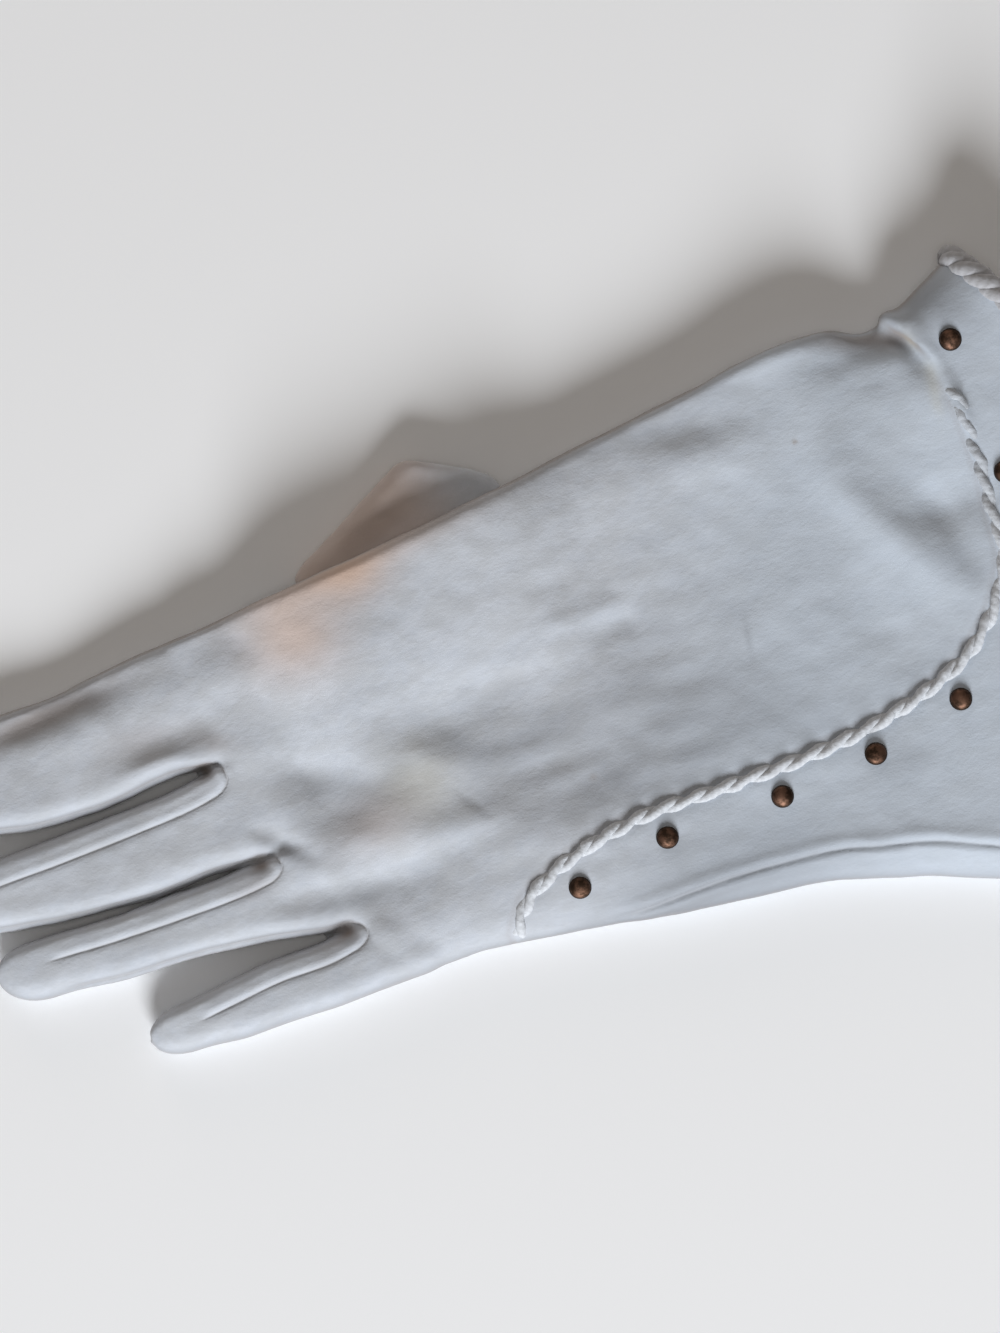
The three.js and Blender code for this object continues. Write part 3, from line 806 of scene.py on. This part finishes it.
def cotton_material():
    """Matte brushed cotton with soft mottling, seam grooves, old stains and painted shade."""
    s = Shader("brushed_cotton")
    mottle = s.ramp(s.noise(90, 4, 0.6, (1, 0.35, 1), 0.2), (0.35, 0), (0.65, 1))
    patch = s.ramp(s.noise(240, 4, 0.58, (1, 0.6, 1), 0.35), (0.34, 0), (0.66, 1))
    fine = s.noise(900, 3, 0.7, (1, 0.5, 1))
    weave = s.noise(2600, 2, 0.6)
    color = s.mix(mottle, (0.50, 0.53, 0.58), (0.58, 0.61, 0.66))
    color = s.mix(s.times(s.ramp(fine, (0.3, 0), (0.7, 1)), 0.35), color, (0.62, 0.64, 0.68))
    color = s.mix(s.times(patch, 0.40), color, (0.47, 0.48, 0.49))
    for layer, (most, tone) in COTTON_TONES.items():
        color = s.mix(s.times(s.layer(layer), most), color, tone)
    line = s.times(s.bell(s.layer("seam"), 0.32), s.layer("seam_shows"))
    side = s.times(s.bell(s.layer("side"), 0.45), s.layer("side_shows"))
    groove = s.math("ADD", line, s.times(side, 0.5), clamp=True)
    color = s.mix(s.times(groove, 0.22), color, (0.33, 0.29, 0.26))
    normal = s.bump(s.plus(s.times(fine, 0.6), s.times(weave, 0.4)), 0.4, 0.00025)
    normal = s.bump(patch, 0.35, 0.00015, Normal=normal)
    normal = s.bump(s.times(groove, -1.0), 0.5, 0.0005, Normal=normal)
    return s.finish(
        Base_Color=color,
        Roughness=0.95,
        Specular_IOR_Level=0.25,
        Sheen_Weight=0.25,
        Sheen_Roughness=0.5,
        Normal=normal,
    )


def cord_material(name, turns, pitch, dark, light):
    """White cotton strands with fine plies that run round them."""
    s = Shader(name)
    uv = s.node("UVMap", {"uv_map": "twist"}).outputs["UV"]
    parts = s.node("SeparateXYZ", Vector=uv)
    phase = s.plus(
        s.times(parts.outputs["X"], 2 * math.pi * turns),
        s.times(parts.outputs["Y"], 2 * math.pi / pitch),
    )
    ply = s.plus(s.times(s.math("SINE", phase), 0.5), 0.5)
    fibre = s.noise(1500, 3, 0.6)
    color = s.mix(s.plus(s.times(ply, 0.35), s.times(fibre, 0.65)), dark, light)
    color = s.mix(s.layer("pressed"), color, (0.44, 0.465, 0.50))
    normal = s.bump(fibre, 0.6, 0.0003, Normal=s.bump(ply, 0.2, 0.0002))
    return s.finish(
        Base_Color=color, Roughness=0.92, Specular_IOR_Level=0.25, Sheen_Weight=0.25, Normal=normal
    )


def brass_material():
    """Antique brass: a dark rim and patches of patina over a worn warm dome."""
    s = Shader("antique_brass")
    patches = s.ramp(s.noise(500, 4, 0.65), (0.38, 0), (0.62, 1))
    worn = s.times(s.layer("height"), patches)
    return s.finish(
        Base_Color=s.mix(worn, (0.045, 0.027, 0.018), (0.17, 0.095, 0.065)),
        Metallic=1.0,
        Roughness=s.plus(s.times(patches, -0.10), 0.64),
        Normal=s.bump(s.noise(1200, 3, 0.6), 0.25, 0.0002),
    )


COTTON = cotton_material()
HEM_ROPE = cord_material("hem_cotton", 2, 1.6, (0.36, 0.355, 0.36), (0.46, 0.46, 0.48))
SEAM_ROPE = cord_material("seam_cotton", 2, 1.8, (0.50, 0.515, 0.54), (0.65, 0.67, 0.70))
BRASS = brass_material()

# Seams in the plan


def fourchette_seam(shows, hides, rim_y):
    """The seam round a strip: down the finger that shows it, round the rim and up the other."""
    shown, hidden = FINGERS[shows], FINGERS[hides]

    def side(part, column, reach):
        ys = np.arange(rim_y + RIM_RADIUS, part["tip"] - SEAM_END, 1.0)
        return np.stack([along_finger(part, column, ys) + reach, ys], axis=1)

    down = side(shown, "thumbX", -shown["strip"])[::-1]
    up = side(hidden, "littleX", SEAM_BESIDE)
    middle, half = (down[-1] + up[0]) / 2, np.linalg.norm(up[0] - down[-1]) / 2
    turns = np.pi * (1 + np.arange(1, 12) / 12)
    rim = middle + np.stack([half * np.cos(turns), RIM_RADIUS * np.sin(turns)], axis=1)
    return np.concatenate([down, rim, up])


# Outer skin


def off_ground(points):
    """0 near the ground and 1 at the height of the upper side."""
    return smoothstep(2.5, 5.5, points[:, 2])


def strip_seams(plan, on_top):
    """Layers of the seams round the strips and of the painted shade in the pockets at their ends, and
    their relief.
    """
    seam = np.full(len(plan), -FAR)
    seam_shows, pocket_dent_and_shade, height = np.zeros((3, len(plan)))
    for shows, hides, rim_y in FOURCHETTES.values():
        distance, share = line_distance(plan, fourchette_seam(shows, hides, rim_y))
        fade = smoothstep(0, 0.05, share) * smoothstep(1.0, 0.92, share) * on_top
        nearer = np.abs(distance) < np.abs(seam)
        seam[nearer] = distance[nearer]
        seam_shows[nearer] = (fade * traces(distance))[nearer]
        height += fade * relief(distance, STRIP_RELIEF)
        end_y = rim_y + RIM_RADIUS
        end_x = along_finger(FINGERS[hides], "littleX", end_y)
        pocket_dent_and_shade += mound(*plan.T, end_x + POCKET_PLACE[0], end_y + POCKET_PLACE[1], *POCKET_SIZE, 0)
    pocket_dent_and_shade *= on_top
    return {"seam": seam, "seam_shows": seam_shows, "pocket_dent_and_shade": pocket_dent_and_shade}, height - POCKET_DEPTH * pocket_dent_and_shade


def side_seam(plan, normals):
    """Layers and relief of the side seam, which fades out beside the little finger's edge."""
    line = np.stack([SIDE_SEAM["x"], SIDE_SEAM["y"]], axis=1)[:SIDE_SEAM_ROWS]
    distance, share = line_distance(plan, smooth_line(np.concatenate([line, SIDE_SEAM_END]), 1.0))
    shows = smoothstep(1.0, 0.88, share) * smoothstep(-0.4, 0.0, normals[:, 2]) * traces(distance)
    return {"side": distance, "side_shows": shows}, shows * relief(distance, SIDE_RELIEF)


def cuff_seam(plan, on_top):
    """Distance from the corded seam, how far its traces show, and their relief. The cord presses
    the cloth in, but lifts it where it starts to slip under the crease."""
    distance, _ = line_distance(plan, smooth_line(CUFF_SEAM, 1.0))
    shows = on_top * traces(distance)
    lifted = smoothstep(0, 16, plan[:, 0]) * smoothstep(30, 20, plan[:, 0])
    pressed = (1 - lifted) * relief(distance, CUFF_RELIEF)
    return distance, shows, shows * (pressed + lifted * relief(distance, CUFF_RELIEF_AT_CREASE))


def tone_layers(plan, on_top, points, normals, cord_shadow_line):
    """Layers of the cloth's stains, its greyed and browned places, which are partly soiling and
    partly painted shade, painted shade on steep edges and on slopes facing the key light, and a
    painted shadow beside the cord.
    """
    tones = {name: on_top * mounds(*plan.T, rows) for name, rows in MARKS.items()}
    x, upright = plan[:, 0], normals[:, 2]
    # Painted shade: brown on steep sides, strongest towards the thumb, and grey on the slopes that
    # face the key light
    steep_side_shade = smoothstep(0.65, 0.20, upright) * smoothstep(-0.5, 0.1, upright)
    key_side_shade = smoothstep(0.94, 0.5, upright) * smoothstep(0.1, -0.5, normals[:, 0])
    brown_edge_shade = (0.35 + 0.30 * smoothstep(20, 40, x)) * steep_side_shade
    tones["brown_tint_and_shade"] = np.maximum(tones["brown_tint_and_shade"], brown_edge_shade)
    # Painted shadow beside the cord, fading out towards the crease
    tones["brown_tint_and_shade"] += 0.2 * cord_shadow_line * smoothstep(34, 24, x)
    tones["grey_soil_and_shade"] += 0.5 * key_side_shade * off_ground(points)
    tones["cool"] = smoothstep(120, 60, plan[:, 1] + 0.6 * x)
    return tones


def dress_skin(points, quads):
    """The outer skin with its waves, seams and creases, its normals, and its material's layers."""
    normals = point_normals(points, quads)
    plan = points[:, :2]
    on_top = smoothstep(0.0, 0.35, normals[:, 2]) * off_ground(points)
    strips, height = strip_seams(plan, on_top)
    side, side_height = side_seam(plan, normals)
    cuff, cuff_shows, cuff_height = cuff_seam(plan, on_top)
    height += side_height + cuff_height + waves(points, CLOTH_WAVES)
    wrinkled = WRINKLES_EVERYWHERE + mound(*plan.T, *MOST_WRINKLES)
    height += wrinkled * waves(points * WRINKLE_RUN, WRINKLES)
    for row in CREASES.strip().splitlines():
        rise, width, *places = (float(number) for number in row.split())
        line = smooth_line(np.reshape(places, (-1, 2)), 1.0)
        away, share = line_distance(plan, line, most=3 * width)
        ends = smoothstep(0, 0.3, share) * smoothstep(1, 0.7, share)
        height += on_top * ends * rise * bell(away, width)
    height = np.where(height < 0, DEEPEST * np.tanh(height / DEEPEST), height)
    points = points + normals * height[:, None]
    normals = point_normals(points, quads)
    # Painted shadow along the hand's side of the corded seam
    cord_shadow_line = cuff_shows * bell(cuff - 2.0, 0.7)
    tones = tone_layers(plan, on_top, points, normals, cord_shadow_line)
    return points, normals, {**strips, **side, **tones}


def blank_layers(names, count):
    """Layers of cloth that has no seam or mark."""
    return {name: np.full(count, -FAR if name in ("seam", "side") else 0.0) for name in names}


skin_points, skin_quads = cloth_skin(SKIN_STEP, 0, 2)
skin_points, skin_normals, layers = dress_skin(skin_points, skin_quads)

# Inner skin and panels


def hem_y(x):
    """Y of the hem's bowed line at places across the hand."""
    share = (2 * x - HEM["thumbX"] - HEM["littleX"]) / (HEM["thumbX"] - HEM["littleX"])
    y = (HEM["thumbY"] + HEM["littleY"] + share * (HEM["thumbY"] - HEM["littleY"])) / 2
    return y + HEM["bow"] * (1 - share**2)


def panels(middle):
    """Which node's cloth each place belongs to."""
    x, y, z = middle.T
    _, seam_x, little_z, thumb_z = (np.interp(y, SIDE_SEAM["y"], c) for c in SIDE_SEAM.values())
    across = np.clip((x - seam_x) / (50 - seam_x), 0, 1)
    upper = (x > seam_x) & (z > little_z + across * (thumb_z - little_z))
    line = np.concatenate([[(-70, 154)], smooth_line(CUFF_SEAM, 1.0), [(80, 19)]])
    cuff_side = line_distance(middle[:, :2], line, most=300.0)[0] < 0
    chosen = {"palm_panel": ~upper}
    for name, (shows, hides, rim_y) in FOURCHETTES.items():
        gap, _ = line_distance(middle[:, :2], fourchette_seam(shows, hides, rim_y), most=30.0)
        end = FINGERS[shows]["tip"] - SEAM_END
        far_side = along_finger(FINGERS[hides], "littleX", y) + SEAM_BESIDE
        chosen[name] = upper & (gap > 0) & (y > rim_y - 1) & (y < end) & (x < far_side)
        upper &= ~chosen[name]
    chosen["cuff_panel"] = upper & cuff_side
    chosen["back_panel"] = upper & ~cuff_side
    return chosen


def open_at_hem(points, quads):
    """The quads that don't close the hem's mouth, and which node each belongs to."""
    middle = points[quads].mean(axis=1)
    kept = quads[middle[:, 1] > hem_y(middle[:, 0]) - 0.7 * HEM_RUN]
    return kept, panels(points[kept].mean(axis=1))


lining_points, lining_quads = cloth_skin(LINING_STEP, CLOTH, 1)
lining_normals = -point_normals(lining_points, lining_quads)
outer_quads, outer = open_at_hem(skin_points, skin_quads)
inner_quads, inner = open_at_hem(lining_points, lining_quads[:, ::-1])
for node in outer:
    points, quads, (normals, *values) = part_of(
        skin_points, outer_quads, outer[node], skin_normals, *layers.values()
    )
    under, under_quads, (under_normals,) = part_of(
        lining_points, inner_quads, inner[node], lining_normals
    )
    blank = blank_layers(layers, len(under)).values()
    values = dict(zip(layers, (np.concatenate(pair) for pair in zip(values, blank))))
    quads = np.concatenate([quads, under_quads + len(points)])
    points = np.concatenate([points, under])
    normals = np.concatenate([normals, under_normals])
    new_object(node + "_cloth", points, quads, node, COTTON, normals, values)

upper_faces = BVHTree.FromPolygons(skin_points.tolist(), outer_quads.tolist())


def on_cloth(x, y):
    """Point of the cloth's upper side at a place of the plan, and its normal there."""
    point, _, index, _ = upper_faces.ray_cast(Vector((x, y, 60)), Vector((0, 0, -1)))
    normal = skin_normals[outer_quads[index]].mean(axis=0)
    return np.array(point), normal / np.linalg.norm(normal)


# Thumb


def thumb_rings(steps, around):
    """Rings along the thumb, from inside the hand round the fold and back under the palm."""
    at = np.linspace(0, len(THUMB["turn"]) - 1, steps)
    *ends, degrees = (smooth_at(column, at) for column in THUMB.values())
    ends = np.reshape(ends, (2, 2, steps))
    share, upright = circle(around)
    low, high = THUMB_LEVELS
    rings = []
    for i in range(steps):
        turn = math.radians(min(180, max(0, degrees[i])))
        far, near = ends[:, :, i]
        half = np.linalg.norm(far - near) / 2
        side = np.append((far - near) / (2 * half), 0)
        normal = np.array([side[1] * math.sin(turn), -side[0] * math.sin(turn), math.cos(turn)])
        centre = np.append((far + near) / 2, (low + high) / 2) + normal * (high - low) / 2
        edge = np.clip(half * (1 - np.abs(share)) / THUMB_ROLL, 0, 1)
        taper = min(1.0, 6 * (1 - at[i] / at[-1]))
        thick = np.sign(upright) * np.sqrt(1 - (1 - edge) ** 2) * THUMB_THICKNESS / 2 * taper
        rings.append(centre + share[:, None] * half * side + thick[:, None] * normal)
    return np.array(rings)


def tube_quads(rings, around):
    """Quads between consecutive closed rings of points."""
    i, k = np.meshgrid(np.arange(rings - 1), np.arange(around), indexing="ij")
    after = (k + 1) % around
    ring, next_ring = i * around, (i + 1) * around
    quads = np.stack([ring + k, ring + after, next_ring + after, next_ring + k])
    return quads.reshape(4, -1).T


rings = thumb_rings(120, 96)
thumb_quads = tube_quads(*rings.shape[:2])[:, ::-1]
thumb_points = relax(rings.reshape(-1, 3), thumb_quads, 2)
thumb_waves = waves(thumb_points, THUMB_WAVES)
thumb_points = thumb_points + point_normals(thumb_points, thumb_quads) * thumb_waves[:, None]
thumb_layers = blank_layers(layers, len(thumb_points))
# Painted shade on the thumb: brown towards its far part and along its fold
to_fold, _ = line_distance(thumb_points[:, :2], THUMB_FOLD, most=12.0)
fold_shade = 0.3 + 0.7 * smoothstep(6, 1.5, np.abs(to_fold))
thumb_layers["brown_tint_and_shade"] = 0.5 * smoothstep(120, 140, thumb_points[:, 1]) * fold_shade
thumb_layers["peach"] = 0.50 * smoothstep(118, 136, thumb_points[:, 1])
new_object("thumb_cloth", thumb_points, thumb_quads, "thumb", COTTON, None, thumb_layers)

# Cords


def rope(name, node, material, path, closed, strands, lay, radius, offset):
    """Strands twisted round a path of points and normals, with how far each place is pressed.
    `lay` is the length of one turn and `offset` a strand's distance from the path."""
    around = 14
    points, ups, pressed = path
    length = line_length(points)
    turns = round(length[-1] / lay) if closed else length[-1] / lay
    steps = int(length[-1] / 0.4)
    even = np.linspace(0, length[-1], steps)
    centre = at_length(even, length, points)
    along = unit(np.gradient(centre, axis=0))
    out = unit(np.cross(along, at_length(even, length, ups)))
    up = np.cross(out, along)
    size = np.full(steps, radius)
    if not closed:
        to_end = np.clip(np.minimum(even, length[-1] - even) / radius, 0.01, 1)
        size *= np.sqrt(to_end * (2 - to_end))
    cos, sin = (values[:, None] for values in circle(around))
    rings = []
    for strand in range(strands):
        twist = 2 * np.pi * (turns * even / length[-1] + strand / strands)
        reach = np.cos(twist)[:, None] * out + np.sin(twist)[:, None] * up
        axis = centre + reach * offset
        run = unit(np.gradient(axis, axis=0))
        first = unit(reach - (reach * run).sum(1, keepdims=True) * run)
        second = np.cross(run, first)
        ring = cos * first[:, None] + sin * second[:, None]
        rings.append((axis[:, None] + ring * size[:, None, None]).reshape(-1, 3))
    quads = tube_quads(steps, around)
    corner_share = ([0, 1, 1, 0] + (np.arange(len(quads)) % around)[:, None]) / around
    uv = np.tile(np.stack([corner_share, even[quads // around]], axis=2).reshape(-1, 2), (strands, 1))
    quads = np.concatenate([quads + strand * steps * around for strand in range(strands)])
    points = np.concatenate(rings)
    points = points + waves(points, CORD_WAVES)[:, None] * point_normals(points, quads)
    pressed = np.tile(np.repeat(np.interp(even, length, pressed), around), strands)
    new_object(name, points, quads, node, material, None, {"pressed": pressed}, uv)


def seam_path():
    """The seam cord's line over the cloth up to the crease, as it sinks in and is pressed."""
    line = [on_cloth(*place) for place in smooth_line(CUFF_SEAM, 1.0) if place[0] < SEAM_CORD_END]
    points, ups = (np.array(column) for column in zip(*line))
    points = points + SEAM_CORD_RISE * ups
    sinks = (depth * smoothstep(*span, points[:, axis]) for depth, axis, *span in SEAM_CORD_SINKS)
    points[:, 2] -= SEAM_CORD_SUNK + sum(sinks)
    return points, ups, SEAM_CORD_PRESSED * smoothstep(-14, 12, points[:, 0])


def hem_path(around):
    """Closed line round the hem's edge, beyond the end of the cloth, with outward normals. It is
    pressed nowhere."""
    angle = 2 * np.pi * np.arange(around + 1) / around
    share = np.cos(angle)
    run, climb = HEM["thumbX"] - HEM["littleX"], HEM["thumbY"] - HEM["littleY"]
    x = (HEM["thumbX"] + HEM["littleX"]) / 2 + share * (run / 2 - CLOTH / 2)
    y = hem_y(x)
    half = math.hypot(run, climb) / 2 - CLOTH / 2
    over = np.sin(angle) >= 0

    def roundness(thumb_reach, little_reach, fullness):
        thumb = np.maximum(0, 1 - half * (1 - share) / (thumb_reach - CLOTH / 2))
        little = np.maximum(0, 1 - half * (1 + share) / (little_reach - CLOTH / 2))
        return np.sqrt(np.maximum(0, 1 - thumb ** (2 * fullness) - little**2))

    edge = EDGE_LEVEL * HEM["crown"]
    top = HEM["crown"] - edge + mounds(x, y, FOLDS) - CLOTH / 2
    top *= roundness(HEM["roll"], HAND_ROLL["little"], HEM["fullness"])
    bottom = (CLOTH / 2 - edge) * roundness(HAND_ROLL["under"], HAND_ROLL["under"], 1)
    z = HEM["lift"] + edge + np.where(over, top, bottom)
    slope = (climb - 4 * HEM["bow"] * share) / run
    forward = unit(np.stack([slope, -np.ones_like(slope), np.zeros_like(slope)], axis=1))
    points = np.stack([x, y, z], axis=1) + forward * HEM_REACH
    return points, forward, np.zeros(around + 1)


rope("seam_rope", "seam_cord", SEAM_ROPE, seam_path(), False, **SEAM_STRANDS)
rope("hem_rope", "hem_cord", HEM_ROPE, hem_path(400), True, **HEM_STRANDS)


# Studs


def stud_profile():
    """Radius and height of a stud's outline, from the flange inside the cloth to the dome's top."""
    dome = [(2.3 * math.cos(t), 0.5 + 1.3 * math.sin(t)) for t in np.linspace(0.15, math.pi / 2, 12)]
    return np.array(
        [(0.01, -2.4), (1.2, -2.4), (1.3, -2.3), (1.3, -2.0), (0.6, -1.9), (0.6, 0.1), (2.3, 0.12)]
        + [(2.45, 0.22), (2.45, 0.42), (2.36, 0.56), *dome[:-1], (0.01, 1.8)]
    )


def add_stud(number, place):
    around = 32
    profile = stud_profile()
    ring = np.stack(circle(around), axis=1)
    local = np.concatenate(
        [np.column_stack([ring * radius, np.full(around, height)]) for radius, height in profile]
    )
    random = np.random.default_rng(number)
    dents = undulation(local + random.uniform(0, 50, 3), 3, number)
    local[:, 2] += 0.05 * dents * (local[:, 2] > 0.4)
    point, normal = on_cloth(*place)
    lean = random.normal(scale=0.04, size=3)
    turn = Vector(normal + lean).normalized().to_track_quat("Z", "Y").to_matrix()
    points = local @ np.array(turn).T + point
    quads = tube_quads(len(profile), around)[:, ::-1]
    height = smoothstep(0.5, 1.5, local[:, 2])
    stud = f"stud_{number}"
    new_object(stud + "_brass", points, quads, stud, BRASS, None, {"height": height})


for number, place in enumerate(STUDS, 1):
    add_stud(number, place)

# Camera, light and floor

MM_PER_PIXEL = 0.215
PICTURE_HEIGHT = 1333  # pixels
LENS, SENSOR = 200, 36
IMAGE_RIGHT = Vector((-0.407, -0.913, 0)).normalized()
IMAGE_UP = Vector((0.913, -0.407, 0)).normalized()
TO_CAMERA = IMAGE_RIGHT.cross(IMAGE_UP)
MIDDLE = (Vector((10.9, 129.4, 8.0)) + Vector(PLAN_ORIGIN)) / 1000

# Lights: direction in the picture (right, up and towards the camera), distance, size, power, colour
LIGHTS = {
    "key": ((0.1, -1.0, 0.52), 3.0, 1.5, 118.0, (0.93, 0.96, 1.0)),
    "overhead": ((0.0, 0.0, 1.0), 2.5, 0.8, 5.2, (1.0, 0.98, 0.96)),
    "fill": ((-0.3, 1.0, 0.35), 1.6, 0.8, 3.6, (1.0, 0.88, 0.78)),
}
WORLD_COLOR = (1.0, 0.93, 0.86, 1)
WORLD_STRENGTH = 0.13

scene = bpy.context.scene
camera = bpy.data.objects.new("camera", bpy.data.cameras.new("camera"))
camera.data.lens = LENS
camera.data.sensor_width = SENSOR
camera.data.clip_start = 0.01
distance = PICTURE_HEIGHT * MM_PER_PIXEL * LENS / SENSOR / 1000
turn = Matrix((IMAGE_RIGHT, IMAGE_UP, TO_CAMERA)).transposed().to_4x4()
camera.matrix_world = Matrix.Translation(MIDDLE + TO_CAMERA * distance) @ turn
scene.collection.objects.link(camera)
scene.camera = camera

bpy.ops.mesh.primitive_plane_add(size=4)
floor = bpy.context.object
floor.name = "floor"
floor.data.materials.append(Shader("floor").finish(Base_Color=(0.93, 0.93, 0.93, 1), Roughness=0.8))

for name, ((right, up, out), distance, size, power, color) in LIGHTS.items():
    light = bpy.data.objects.new(name, bpy.data.lights.new(name, "AREA"))
    light.data.shape = "DISK"
    light.data.size = size
    light.data.energy = power
    light.data.color = color
    towards = (right * IMAGE_RIGHT + up * IMAGE_UP + out * TO_CAMERA).normalized()
    light.location = MIDDLE + towards * distance
    light.rotation_euler = towards.to_track_quat("Z", "Y").to_euler()
    scene.collection.objects.link(light)

scene.world = bpy.data.worlds.new("world")
scene.world.use_nodes = True
background = scene.world.node_tree.nodes["Background"]
background.inputs["Color"].default_value = WORLD_COLOR
background.inputs["Strength"].default_value = WORLD_STRENGTH
scene.view_settings.view_transform = "Standard"
